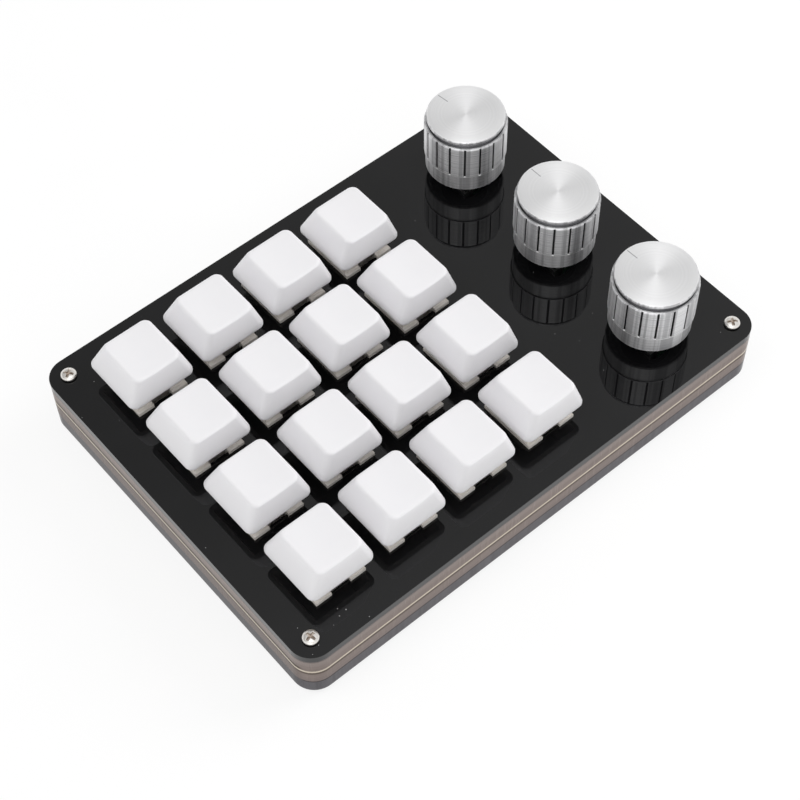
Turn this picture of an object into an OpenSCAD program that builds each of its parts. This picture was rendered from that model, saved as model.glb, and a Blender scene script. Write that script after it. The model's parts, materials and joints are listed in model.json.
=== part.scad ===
// Macro keypad: sixteen mechanical keys and three push knobs in a layered acrylic case.
// The user sits at -Y, the knobs stand at +X, and the rubber feet rest on z = 0.

/* [Case] */
// Width of the case, left to right
case_w = 142; // [136:0.5:170]
// Depth of the case, front to back
case_d = 103.5; // [102:0.5:130]
// Radius of the case's upright corners
corner_r = 5.8; // [3:0.1:7]
// Thickness of the glossy top plate
plate_t = 2; // [1.5:0.1:3]
// Thickness of the upper spacer frame
upper_spacer_t = 5.2; // [4.5:0.1:8]
// Thickness of the lower spacer frame
lower_spacer_t = 4.5; // [4:0.1:8]
// Thickness of the bottom plate
bottom_t = 3.9; // [2:0.1:6]
// Width of the spacer frames' walls
wall_w = 8; // [7.6:0.1:8.6]
// Height of the rubber feet
foot_h = 2; // [1.6:0.1:4]
// Diameter of the rubber feet
foot_d = 8; // [6:0.5:12]
// Distance from the case's edges to a foot's centre
foot_inset = 14; // [12:0.5:20]

/* [Screws] */
// Distance from the case's edges to a screw's axis
screw_inset = 5.1; // [4.5:0.1:5.2]
// Thread diameter of the case screws
screw_d = 2; // [1.6:0.1:2.5]
// Diameter of a screw's pan head
screw_head_d = 4; // [3.6:0.1:4.6]
// Height of a screw's pan head
screw_head_h = 1.3; // [1:0.1:1.5]
// Outer diameter of the threaded standoffs
standoff_d = 4; // [3.6:0.1:4.4]

/* [Key field] */
// Spacing of the key columns
key_pitch_x = 21.2; // [20:0.1:22.6]
// Distance from the case's left edge to the first column
key_margin = 18.1; // [17.5:0.1:22]
// Distance from the case's front and back edges to the nearest row
key_margin_y = 18.25; // [17.5:0.05:20]

/* [Keycaps] */
// Width and depth of a keycap at its skirt
cap_base = 18.2; // [17.8:0.1:18.8]
// Radius of a keycap's corners at the skirt
cap_base_r = 1.9; // [1:0.1:2.5]
// Height of a keycap at the edges of its top
cap_h = 8.4; // [7.8:0.1:9]
// Lean of a keycap's left and right faces
cap_lean_side = 2.4; // [1.8:0.1:2.8]
// Lean of a keycap's front face
cap_lean_front = 0.8; // [0.5:0.1:2]
// Lean of a keycap's back face
cap_lean_back = 3.4; // [1.5:0.1:3.5]
// Radius of a keycap's corners at the top
cap_top_r = 2; // [1:0.1:3]
// Depth of the finger dish in a keycap's top
dish_depth = 0.5; // [0.2:0.05:0.6]
// Wall thickness of a keycap's skirt
cap_wall = 1.3; // [1:0.1:1.5]
// Thickness of a keycap's top under the dish
cap_top_t = 1.2; // [1:0.1:1.3]
// Gap from the top plate up to a keycap's skirt at rest
cap_gap = 5.5; // [5.4:0.1:6.2]
// Travel of a key
key_travel = 4; // [3:0.1:4]

/* [Switches] */
// Side of a switch's square cut-out in the top plate
switch_cutout = 14; // [13.95:0.05:14.1]
// Height of a switch's lower housing under its flange
switch_depth = 5; // [4.8:0.1:5.4]
// Height of a switch's upper housing above the plate
switch_rise = 6.6; // [6.5:0.05:6.8]
// Depth of a switch's flange, front to back
flange_d = 15.6; // [15:0.1:16]
// Thickness of a switch's flange
flange_t = 1; // [0.8:0.1:1.2]
// Width of the notch in a flange's front and back edges
flange_notch_w = 5.4; // [4:0.1:7]
// Length of the cross post above the upper housing
post_rise = 3.6; // [3.4:0.05:3.8]
// Length of a cross post's arms
cross_l = 4; // [3.9:0.05:4.1]
// Thickness of a cross post's arms
cross_t = 1.2; // [1.1:0.05:1.3]
// Wire thickness of a switch's spring
spring_wire = 0.3; // [0.25:0.05:0.3]

/* [Knobs] */
// Largest diameter of a knob
knob_d = 21.2; // [19:0.1:24]
// Height of a knob
knob_h = 17.3; // [16.4:0.1:20]
// Gap from the top plate up to a knob's underside
knob_gap = 3.5; // [3:0.1:4]
// Distance from the case's right edge to the knobs' axis
knob_margin = 21.1; // [19:0.1:24]
// Distance from the case's front and back edges to the nearest knob's axis
knob_margin_y = 17.9; // [16.5:0.05:20]
// Number of slots round a knob's grip
slot_count = 17; // [12:1:24]
// Width of a grip slot
slot_w = 0.6; // [0.5:0.1:1]
// Depth of a grip slot
slot_depth = 0.7; // [0.4:0.1:1]
// Height of the plain turned band under the slots
band_h = 5.2; // [3:0.1:6]
// Thickness of the flat disc on top of a knob
disc_t = 0.9; // [0.8:0.1:2]
// Height of the dark groove under the disc
groove_h = 1.1; // [0.5:0.05:2]
// Travel of a knob when it is pressed
press_travel = 0.5; // [0.3:0.05:0.6]

/* [Encoders] */
// Diameter of an encoder's shaft
shaft_d = 6; // [5.8:0.05:6.2]
// Height of an encoder's body above the circuit board
encoder_h = 6.5; // [6.3:0.1:7]
// Length of an encoder's plastic case, front to back
encoder_l = 12.2; // [11.6:0.1:12.2]
// Outer diameter of an encoder's threaded bush
bush_d = 7; // [6.8:0.1:8]
// Height of an encoder's threaded bush
bush_h = 5; // [4:0.1:5.4]
// Length of an encoder's cut-out in the top plate, front to back
encoder_cutout_l = 16.2; // [14.2:0.1:17]
// Length of an encoder's shaft above its body
shaft_l = 15; // [14.4:0.1:15.4]

/* [Electronics] */
// Thickness of the circuit board
board_t = 1.6; // [1:0.1:1.6]
// Width of the USB socket's shell
usb_w = 8.94; // [8.8:0.02:9.2]
// Height of the USB socket's shell
usb_h = 3.26; // [3.1:0.02:3.4]
// Length of the USB socket's shell
usb_l = 7.35; // [6.8:0.05:7.8]

/* [Hidden] */
$fn = 64;
KEY_COLUMNS = 4;
KEY_ROWS = 4;
KNOBS = ["back", "middle", "front"];
KNOB_TURNS = [-5.3, -9.7, -3.6];  // how far each knob stands turned, in degrees

// Clearances
free_gap = 0.1;             // between pieces that only lie beside each other
slide_gap = 0.2;            // between a stem and the housing round it
bush_gap = 0.03;            // radial, between an encoder's shaft and its bush
cross_gap = 0.05;           // each side, between a cross post and its socket
cut = 0.1;                  // how far a cutting shape reaches past a face

// Levels, from the feet up
z_bottom = foot_h;
z_bottom_top = z_bottom + bottom_t;
z_lower_top = z_bottom_top + lower_spacer_t;
z_upper_top = z_lower_top + upper_spacer_t;
z_plate = z_upper_top + plate_t;
z_board = z_plate - switch_depth;
z_board_under = z_board - board_t;

// Places of the keys and knobs
field_x = -case_w / 2 + key_margin;
key_pitch_y = (case_d - 2 * key_margin_y) / (KEY_ROWS - 1);
knob_x = case_w / 2 - knob_margin;
knob_pitch = (case_d - 2 * knob_margin_y) / (len(KNOBS) - 1);
chip_x = (field_x + (KEY_COLUMNS - 1) * key_pitch_x + knob_x) / 2;

// Screws and standoffs
screw_hole_d = screw_d + 2 * free_gap;
standoff_hole_d = standoff_d + 2 * free_gap;
standoff_h = upper_spacer_t + lower_spacer_t;
screw_grip = 3;             // length of thread inside a standoff
recess_l = 0.6 * screw_head_d;
recess_w = 0.5;
recess_depth = 0.6;

// Switch housings, in heights above the plate's top
body_w = switch_cutout - free_gap;
flange_w = body_w + 0.3;
notch_depth = (flange_d - body_w) / 2;
housing_wall = 1;
housing_floor_t = 1;
housing_top_w = 10;
housing_top_d = 9.4;
housing_top_t = 1;
guide_d = 3.9;              // pin under the housing and tube inside it
guide_depth = 3.3;
guide_rise = 3.4;
guide_bore_d = 3.1;
board_guide_d = guide_d + 2 * free_gap;
clip_window_depth = 2;      // of the front window, below the plate's top
clip_window_rise = 2;       // and above it

// Stems
core_w = 6.9;
core_d = 5.5;
core_top = switch_rise - 0.2;
core_bottom = 1.6;
core_ceiling = 5;           // the spring's upper seat
wing_w = 8.6;
wing_d = 3;
wing_t = 1.6;
wing_top = switch_rise - housing_top_t - free_gap;
spring_room_d = 5.1;
rod_d = guide_bore_d - slide_gap;
rod_bottom = -3;
post_top = switch_rise + post_rise;

// Springs
spring_r = 2.3;
spring_turns = 4;
spring_steps = 10;          // steps in a turn
spring_floor = housing_floor_t - switch_depth;

// Contacts: where the two pins pass the board, and their strip
contact_a = [-3.81, 2.54];
contact_b = [2.54, 5.08];
contact_w = 1.2;
contact_t = 0.3;
contact_leaf_w = 2.6;
contact_leaf_y = 4.45;
contact_top = 0.3;
pin_below_board = guide_depth;
pin_hole_d = 1.5;

// Keycaps
cap_top_w = cap_base - 2 * cap_lean_side;
cap_top_d = cap_base - cap_lean_front - cap_lean_back;
cap_top_y = (cap_lean_front - cap_lean_back) / 2;
cap_ceiling = cap_h - dish_depth - cap_top_t;
boss_d = 5.5;
boss_bottom = switch_rise - cap_gap;
slab = 0.01;
dish_r = (pow(cap_top_w / 2, 2) + pow(dish_depth, 2)) / (2 * dish_depth);
CAP_FN = 16;

// Knobs, in heights above the knob's underside
band_d = knob_d - 0.7;
disc_d = knob_d - 1.2;
groove_d = disc_d - 1;
body_top = knob_h - disc_t - groove_h;
edge_bevel = 0.3;
slot_bottom = band_h + edge_bevel;
slot_top = body_top - edge_bevel / 2;
skirt_wall = 1.15;          // of the band round the room under a knob
under_room_d = band_d - 2 * skirt_wall;
under_room_h = 4;
insert_d = 12;
insert_top_t = 0.5;
shaft_flat = 1.5;           // depth of the flat on the shaft
shaft_top = encoder_h - switch_depth + shaft_l;
shaft_reach = shaft_top - knob_gap;

// Encoders, in heights above the plate's top
encoder_top = encoder_h - switch_depth;
frame_t = 1;
ear_t = 0.5;
ear_w = 6;
frame_l = encoder_l + 2 * (free_gap + ear_t);
frame_w = 11.8;
lug_w = 2;
lug_below_board = 0.8;
encoder_w = 11.6;
encoder_floor_t = 1.4;
encoder_cutout_gap = 0.3;
encoder_cutout_w = frame_w + 2 * encoder_cutout_gap;
encoder_cutout_r = 1;
rotor_d = 9.6;
rotor_bottom = encoder_floor_t - switch_depth + free_gap;
rotor_top = -1.2;
rotor_room_d = rotor_d + 0.6;
tongue_w = 5.4;
tongue_t = 3;
tongue_bottom = rotor_bottom + press_travel + slide_gap;
shoulder_d = 7.6;
shoulder_t = 0.7;
pin_d = 0.9;
encoder_pin_hole_d = 1.2;
pin_dy = 2.5;
pin_x = 6.9;
ENCODER_PINS = [for (y = [-1:1]) [-pin_x, y * pin_dy], for (y = [-1, 1]) [pin_x, y * pin_dy]];
encoder_foot_w = 14.8;
encoder_foot_l = 9.2;

// Circuit board and its parts
board_gap = 0.5;            // between the board's edge and the spacer's wall
board_w = case_w - 2 * (wall_w + board_gap);
board_d = case_d - 2 * (wall_w + board_gap);
usb_recess = 0.3;
usb_wall = 0.3;
usb_back_t = 1;
usb_tongue_w = 6.7;
usb_tongue_t = 0.7;
usb_r = usb_h / 2 - 0.05;
usb_bay_gap = 1;
usb_bay_w = usb_w + 2 * usb_bay_gap;
tongue_board_w = usb_w + usb_bay_gap;
usb_y = case_d / 2 - usb_recess;
chip_side = 7;
chip_t = 1.2;
diode = [1.8, 3.6, 1.1];
diode_dx = 8.4;
crystal = [3.2, 2.5, 0.8];
crystal_dy = 8;

function key_node(name, row, col) = str(name, "_r", row, "c", col);
function key_x(col) = field_x + (col - 1) * key_pitch_x;
function key_y(row) = ((KEY_ROWS + 1) / 2 - row) * key_pitch_y;
function knob_y(i) = (1 - i) * knob_pitch;

// A flat plate with rounded upright corners, centred on z's axis
module plate(w, d, h, r) {
    linear_extrude(h)
        rounded_square(w, d, r);
}

module rounded_square(w, d, r) {
    square([w - 2 * r, d], center = true);
    square([w, d - 2 * r], center = true);
    for (x = [-1, 1])
        for (y = [-1, 1])
            translate([x * (w / 2 - r), y * (d / 2 - r)])
                circle(r);
}

// A block that stands on z = 0, centred in x and y
module block(w, d, h) {
    translate([-w / 2, -d / 2, 0])
        cube([w, d, h]);
}

module at_corners(inset) {
    for (x = [-1, 1])
        for (y = [-1, 1])
            translate([x * (case_w / 2 - inset), y * (case_d / 2 - inset), 0])
                children();
}

// Puts its children at each key, with z = 0 on the plate's top
module at_keys() {
    for (row = [1:KEY_ROWS])
        for (col = [1:KEY_COLUMNS])
            at_key(row, col)
                children();
}

module at_key(row, col) {
    translate([key_x(col), key_y(row), z_plate])
        children();
}

module at_knobs() {
    for (i = [0:len(KNOBS) - 1])
        at_knob(i)
            children();
}

module at_knob(i) {
    translate([knob_x, knob_y(i), z_plate])
        children();
}

// The bay in the back wall that the USB socket looks out of
module usb_bay() {
    bay_bottom = z_board_under - usb_h - 2 * free_gap;
    translate([chip_x, case_d / 2 - wall_w / 2, bay_bottom])
        block(usb_bay_w, wall_w + 2 * cut, z_board + free_gap - bay_bottom);
}

module spacer(z, h) {
    difference() {
        translate([0, 0, z])
            plate(case_w, case_d, h, corner_r);
        translate([0, 0, z - cut])
            plate(case_w - 2 * wall_w, case_d - 2 * wall_w, h + 2 * cut, corner_r);
        at_corners(screw_inset)
            translate([0, 0, z - cut])
                cylinder(d = standoff_hole_d, h = h + 2 * cut);
        usb_bay();
    }
}

module top_plate() {
    color([0.05, 0.05, 0.055])
        difference() {
            translate([0, 0, z_upper_top])
                plate(case_w, case_d, plate_t, corner_r);
            at_corners(screw_inset)
                translate([0, 0, z_upper_top - cut])
                    cylinder(d = screw_hole_d, h = plate_t + 2 * cut);
            at_keys()
                translate([0, 0, -plate_t - cut])
                    block(switch_cutout, switch_cutout, plate_t + 2 * cut);
            at_knobs()
                translate([0, 0, -plate_t - cut])
                    plate(encoder_cutout_w, encoder_cutout_l, plate_t + 2 * cut, encoder_cutout_r);
        }
}

module upper_spacer() {
    color([0.42, 0.36, 0.33])
        spacer(z_lower_top, upper_spacer_t);
}

module lower_spacer() {
    color([0.4, 0.34, 0.31])
        spacer(z_bottom_top, lower_spacer_t);
}

module bottom_plate() {
    color([0.2, 0.2, 0.21])
        difference() {
            translate([0, 0, z_bottom])
                plate(case_w, case_d, bottom_t, corner_r);
            at_corners(screw_inset)
                translate([0, 0, z_bottom - cut])
                    cylinder(d = screw_hole_d, h = bottom_t + 2 * cut);
        }
}

// One pan-head screw, its head's seat on z = 0 and its thread pointing down
module screw(grip) {
    dome = screw_head_h * 0.45;
    difference() {
        union() {
            cylinder(d = screw_head_d, h = screw_head_h - dome);
            translate([0, 0, screw_head_h - dome])
                cylinder(d1 = screw_head_d, d2 = screw_head_d - 2 * dome, h = dome);
        }
        for (a = [0, 90])
            rotate([0, 0, a])
                translate([0, 0, screw_head_h - recess_depth])
                    block(recess_l, recess_w, recess_depth + cut);
    }
    translate([0, 0, -grip])
        cylinder(d = screw_d, h = grip + cut);
}

module case_screws() {
    color([0.78, 0.76, 0.73])
        at_corners(screw_inset) {
            translate([0, 0, z_plate])
                screw(plate_t + screw_grip);
            translate([0, 0, z_bottom])
                mirror([0, 0, 1])
                    screw(bottom_t + screw_grip);
        }
}

module standoffs() {
    color([0.72, 0.58, 0.3])
        at_corners(screw_inset)
            translate([0, 0, z_bottom_top])
                difference() {
                    cylinder(d = standoff_d, h = standoff_h);
                    translate([0, 0, -cut])
                        cylinder(d = screw_d + free_gap, h = standoff_h + 2 * cut);
                }
}

module rubber_feet() {
    color([0.08, 0.08, 0.08])
        at_corners(foot_inset)
            cylinder(d1 = foot_d - foot_h / 2, d2 = foot_d, h = foot_h);
}

// Solid between two rounded rectangles, used for a keycap's outside and inside
module taper(base, base_r, w, d, y, r, h) {
    hull() {
        plate(base, base, slab, base_r, $fn = CAP_FN);
        translate([0, y, h - slab])
            plate(w, d, slab, r, $fn = CAP_FN);
    }
}

module keycap(row, col) {
    color([0.93, 0.93, 0.94])
        at_key(row, col)
            translate([0, 0, cap_gap]) {
                difference() {
                    taper(cap_base, cap_base_r, cap_top_w, cap_top_d, cap_top_y, cap_top_r, cap_h);
                    translate([0, 0, -cut])
                        taper(cap_base - 2 * cap_wall, cap_base_r / 2,
                            cap_top_w - 2 * cap_wall, cap_top_d - 2 * cap_wall, cap_top_y,
                            cap_top_r / 2, cap_ceiling + cut);
                    translate([0, 0, cap_h - dish_depth + dish_r])
                        rotate([90, 0, 0])
                            cylinder(r = dish_r, h = 2 * cap_base, center = true, $fn = 180);
                }
                cap_boss();
            }
}

// The round boss inside a keycap, with the cross-shaped socket for the stem
module cap_boss() {
    difference() {
        translate([0, 0, boss_bottom])
            cylinder(d = boss_d, h = cap_ceiling + cap_top_t / 2 - boss_bottom);
        for (a = [0, 90])
            rotate([0, 0, a])
                translate([0, 0, boss_bottom - cut])
                    block(cross_l + 2 * cross_gap, cross_t + 2 * cross_gap,
                        post_top - cap_gap - boss_bottom + cut);
    }
}

module switch_stem(row, col) {
    color([0.25, 0.45, 0.75])
        at_key(row, col) {
            difference() {
                union() {
                    translate([0, 0, core_bottom])
                        block(core_w, core_d, core_top - core_bottom);
                    translate([0, 0, wing_top - wing_t])
                        block(wing_w, wing_d, wing_t);
                }
                translate([0, 0, core_bottom - cut])
                    cylinder(d = spring_room_d, h = core_ceiling - core_bottom + cut);
            }
            translate([0, 0, rod_bottom])
                cylinder(d = rod_d, h = core_ceiling - rod_bottom + cut);
            for (a = [0, 90])
                rotate([0, 0, a])
                    translate([0, 0, core_top - cut])
                        block(cross_l, cross_t, post_top - core_top + cut);
        }
}

module switch_lower_housings() {
    color([0.82, 0.79, 0.72])
        at_keys()
            switch_lower_housing();
}

module switch_lower_housing() {
    difference() {
        union() {
            translate([0, 0, -switch_depth])
                block(body_w, body_w, switch_depth + cut);
            block(flange_w, flange_d, flange_t);
            translate([0, 0, -switch_depth - guide_depth])
                cylinder(d = guide_d, h = guide_depth + cut);
        }
        translate([0, 0, spring_floor])
            difference() {
                block(body_w - 2 * housing_wall, body_w - 2 * housing_wall,
                    switch_depth + flange_t);
                cylinder(d = guide_d, h = guide_rise);
            }
        translate([0, 0, -switch_depth - guide_depth + 0.7])
            cylinder(d = guide_bore_d, h = switch_depth + guide_depth);
        for (y = [-1, 1])
            translate([0, y * (flange_d - notch_depth) / 2, -cut])
                block(flange_notch_w, notch_depth + free_gap, flange_t + 2 * cut);
        for (pin = [contact_a, contact_b])
            translate([pin.x, pin.y, -switch_depth - cut])
                block(contact_w + 2 * free_gap, contact_t + 2 * free_gap,
                    housing_floor_t + 2 * cut);
        clip_window();
    }
}

// The window for the plate clip, through the front of both housings
module clip_window() {
    y_out = flange_d / 2 + cut;
    y_in = body_w / 2 - 1.6 * housing_wall;
    translate([0, -(y_out + y_in) / 2, -clip_window_depth])
        block(flange_notch_w, y_out - y_in, clip_window_depth + clip_window_rise);
}

module switch_upper_housings() {
    color([0.85, 0.82, 0.76])
        at_keys()
            switch_upper_housing();
}

module switch_upper_housing() {
    inner = 2 * housing_wall;
    rise = switch_rise - flange_t;
    difference() {
        translate([0, 0, flange_t])
            pyramid(body_w, body_w, housing_top_w, housing_top_d, rise);
        translate([0, 0, flange_t - slab])
            pyramid(body_w - inner, body_w - inner, housing_top_w - inner + 0.9,
                housing_top_d - inner + 1, rise - housing_top_t + slab);
        translate([0, 0, switch_rise - housing_top_t - cut])
            block(core_w + 2 * slide_gap, core_d + 2 * slide_gap, housing_top_t + 2 * cut);
        clip_window();
    }
}

// A block whose four sides lean in evenly, from w1 by d1 up to w2 by d2
module pyramid(w1, d1, w2, d2, h) {
    intersection() {
        rotate([90, 0, 0])
            wedge(w1, w2, d1, h);
        rotate([90, 0, 90])
            wedge(d1, d2, w1, h);
    }
}

module wedge(base, top, l, h) {
    linear_extrude(l, center = true)
        polygon([[-base / 2, 0], [base / 2, 0], [top / 2, h], [-top / 2, h]]);
}

module switch_springs() {
    color([0.75, 0.75, 0.76])
        at_keys()
            coil_spring();
}

// A helix of square wire, seated on the housing's floor and in the stem's recess
module coil_spring() {
    rings = spring_turns * spring_steps;
    half = spring_wire / 2;
    rise = core_ceiling - spring_floor - spring_wire - 2 * slab;
    points = [for (i = [0:rings]) for (corner = [[-1, -1], [1, -1], [1, 1], [-1, 1]])
        let (a = 360 * i / spring_steps, r = spring_r + corner.x * half)
        [r * cos(a), r * sin(a), spring_floor + slab + half + rise * i / rings + corner.y * half]];
    sides = [for (i = [0:rings - 1]) for (k = [0:3])
        let (a = 4 * i + k, b = 4 * i + (k + 1) % 4)
        each [[a, a + 4, b + 4], [a, b + 4, b]]];
    last = 4 * rings;
    polyhedron(points, concat([[0, 1, 2], [0, 2, 3]], sides,
        [[last + 2, last + 1, last], [last + 3, last + 2, last]]));
}

module switch_contacts() {
    color([0.8, 0.62, 0.25])
        at_keys() {
            contact(contact_a);
            contact(contact_b);
        }
}

// A pin through the board, a foot on the housing's floor and an upright leaf
module contact(pin) {
    leaf_y = max(contact_leaf_y, pin.y);
    below = -switch_depth - pin_below_board;
    translate([pin.x, pin.y, below])
        block(contact_w, contact_t, spring_floor - below + contact_t);
    translate([pin.x - contact_w / 2, pin.y - contact_t / 2, spring_floor])
        cube([contact_w, leaf_y - pin.y + contact_t, contact_t]);
    translate([pin.x, leaf_y, spring_floor])
        block(contact_leaf_w, contact_t, contact_top - spring_floor);
}

// Outline of a knob from its axis outwards, in radius and height
module knob_profile() {
    polygon([
        [0, 0],
        [band_d / 2 - edge_bevel, 0],
        [band_d / 2, edge_bevel],
        [band_d / 2, band_h],
        [knob_d / 2, band_h],
        [knob_d / 2, body_top - edge_bevel],
        [knob_d / 2 - edge_bevel, body_top],
        [groove_d / 2, body_top],
        [groove_d / 2, knob_h - disc_t],
        [disc_d / 2, knob_h - disc_t],
        [disc_d / 2, knob_h - edge_bevel],
        [disc_d / 2 - edge_bevel, knob_h],
        [0, knob_h]
    ]);
}

module knob_cap(i) {
    insert_h = shaft_reach + insert_top_t;
    color([0.8, 0.8, 0.81])
        at_knob(i)
            translate([0, 0, knob_gap])
                difference() {
                    rotate_extrude()
                        knob_profile();
                    translate([0, 0, -cut])
                        cylinder(d = under_room_d, h = under_room_h + cut);
                    cylinder(d = insert_d, h = insert_h);
                    for (k = [0:slot_count - 1])
                        rotate([0, 0, KNOB_TURNS[i] + 360 * k / slot_count])
                            translate([knob_d / 2 - slot_depth, -slot_w / 2, slot_bottom])
                                cube([2 * slot_depth, slot_w, slot_top - slot_bottom]);
                }
}

// A round bar with a flat on its +X side
module flatted_bar(d, flat, h) {
    difference() {
        cylinder(d = d, h = h);
        translate([d / 2 - flat, -d, -cut])
            cube([d, 2 * d, h + 2 * cut]);
    }
}

module knob_insert(i) {
    color([0.1, 0.1, 0.1])
        at_knob(i)
            translate([0, 0, knob_gap])
                difference() {
                    translate([0, 0, under_room_h])
                        cylinder(d = insert_d, h = shaft_reach + insert_top_t - under_room_h);
                    rotate([0, 0, KNOB_TURNS[i]])
                        flatted_bar(shaft_d, shaft_flat, shaft_reach);
                }
}

module encoder_shaft(i) {
    flat_bottom = encoder_top + bush_h + 0.3;
    shoulder_top = encoder_top - frame_t - free_gap;
    color([0.7, 0.7, 0.72])
        at_knob(i)
            rotate([0, 0, KNOB_TURNS[i]]) {
                translate([0, 0, shoulder_top - cut])
                    cylinder(d = shaft_d, h = flat_bottom - shoulder_top + cut);
                translate([0, 0, flat_bottom - cut])
                    flatted_bar(shaft_d, shaft_flat, shaft_top - flat_bottom + cut);
                translate([0, 0, shoulder_top - shoulder_t])
                    cylinder(d = shoulder_d, h = shoulder_t);
                translate([0, 0, tongue_bottom])
                    block(tongue_w, tongue_t, shoulder_top - tongue_bottom - shoulder_t / 2);
            }
}

module encoder_rotor(i) {
    color([0.15, 0.15, 0.15])
        at_knob(i)
            rotate([0, 0, KNOB_TURNS[i]])
                difference() {
                    translate([0, 0, rotor_bottom])
                        cylinder(d = rotor_d, h = rotor_top - rotor_bottom);
                    translate([0, 0, rotor_bottom - cut])
                        block(tongue_w + 2 * cross_gap, tongue_t + 2 * cross_gap,
                            rotor_top - rotor_bottom + 2 * cut);
                }
}

module encoder_frames() {
    color([0.75, 0.74, 0.7])
        at_knobs()
            encoder_frame();
}

// The die-cast top with its bush, and two ears folded down to the circuit board
module encoder_frame() {
    difference() {
        union() {
            translate([0, 0, encoder_top - frame_t])
                block(frame_w, frame_l, frame_t);
            translate([0, 0, encoder_top - cut])
                cylinder(d = bush_d, h = bush_h + cut);
        }
        translate([0, 0, encoder_top - frame_t - cut])
            cylinder(d = shaft_d + 2 * bush_gap, h = frame_t + bush_h + 2 * cut);
    }
    for (y = [-1, 1])
        translate([0, y * (frame_l - ear_t) / 2, 0]) {
            translate([0, 0, -switch_depth])
                block(ear_w, ear_t, encoder_h - frame_t / 2);
            translate([0, 0, -switch_depth - board_t - lug_below_board])
                block(lug_w, ear_t, board_t + lug_below_board + cut);
        }
}

module encoder_cases() {
    color([0.12, 0.12, 0.12])
        at_knobs()
            encoder_case();
}

// The plastic lower body, with the rotor's room, the foot that holds the pins, and the pins
module encoder_case() {
    difference() {
        union() {
            translate([0, 0, -switch_depth])
                block(encoder_w, encoder_l, encoder_h - frame_t);
            translate([0, 0, -switch_depth])
                block(encoder_foot_w, encoder_foot_l, encoder_floor_t);
        }
        translate([0, 0, encoder_floor_t - switch_depth])
            cylinder(d = rotor_room_d, h = encoder_h);
    }
    for (pin = ENCODER_PINS)
        translate([pin.x, pin.y, -switch_depth - board_t - lug_below_board])
            cylinder(d = pin_d, h = board_t + lug_below_board + cut);
}

module circuit_board() {
    slot_gap = 0.2;
    color([0.05, 0.2, 0.12])
        difference() {
            union() {
                translate([0, 0, z_board_under])
                    plate(board_w, board_d, board_t, corner_r);
                translate([chip_x, (board_d + case_d) / 4 - usb_recess, z_board_under])
                    block(tongue_board_w, (case_d - board_d) / 2 - 2 * usb_recess, board_t);
            }
            at_keys() {
                board_hole(0, 0, board_guide_d);
                board_hole(contact_a.x, contact_a.y, pin_hole_d);
                board_hole(contact_b.x, contact_b.y, pin_hole_d);
            }
            at_knobs() {
                for (pin = ENCODER_PINS)
                    board_hole(pin.x, pin.y, encoder_pin_hole_d);
                for (y = [-1, 1])
                    translate([0, y * (frame_l - ear_t) / 2, -switch_depth - board_t - cut])
                        block(lug_w + 2 * slot_gap, ear_t + 2 * slot_gap, board_t + 2 * cut);
            }
        }
}

module board_hole(x, y, d) {
    translate([x, y, -switch_depth - board_t - cut])
        cylinder(d = d, h = board_t + 2 * cut, $fn = 32);
}

// The controller, its crystal and one diode a key, all soldered under the board
module board_components() {
    color([0.06, 0.06, 0.07]) {
        translate([chip_x, 0, z_board_under - chip_t])
            block(chip_side, chip_side, chip_t);
        translate([chip_x, -crystal_dy, z_board_under - crystal.z])
            block(crystal.x, crystal.y, crystal.z);
        at_keys()
            translate([diode_dx, 0, -switch_depth - board_t - diode.z])
                block(diode.x, diode.y, diode.z);
    }
}

// A folded shell with its contact tongue, hung under the board with its mouth at the back
module usb_socket() {
    color([0.78, 0.78, 0.8])
        translate([chip_x, usb_y, z_board_under - usb_h / 2])
            rotate([90, 0, 0]) {
                difference() {
                    plate(usb_w, usb_h, usb_l, usb_r);
                    translate([0, 0, -cut])
                        plate(usb_w - 2 * usb_wall, usb_h - 2 * usb_wall,
                            usb_l - usb_back_t + cut, usb_r - usb_wall);
                }
                translate([0, 0, usb_back_t])
                    plate(usb_tongue_w, usb_tongue_t, usb_l - usb_back_t - cut, usb_tongue_t / 4);
            }
}

for (row = [1:KEY_ROWS])
    for (col = [1:KEY_COLUMNS])
        keycap(row, col);
for (row = [1:KEY_ROWS])
    for (col = [1:KEY_COLUMNS])
        switch_stem(row, col);
for (i = [0:len(KNOBS) - 1]) {
    knob_cap(i);
    knob_insert(i);
    encoder_shaft(i);
    encoder_rotor(i);
}
top_plate();
upper_spacer();
lower_spacer();
bottom_plate();
case_screws();
standoffs();
rubber_feet();
switch_lower_housings();
switch_upper_housings();
switch_springs();
switch_contacts();
encoder_frames();
encoder_cases();
circuit_board();
board_components();
usb_socket();
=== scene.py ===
"""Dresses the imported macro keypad: keycaps, knobs and screws in full detail, finishes for
everything, and a white studio seen from the photograph's angle."""

import json
import math

import bpy
from mathutils import Matrix, Vector


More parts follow.
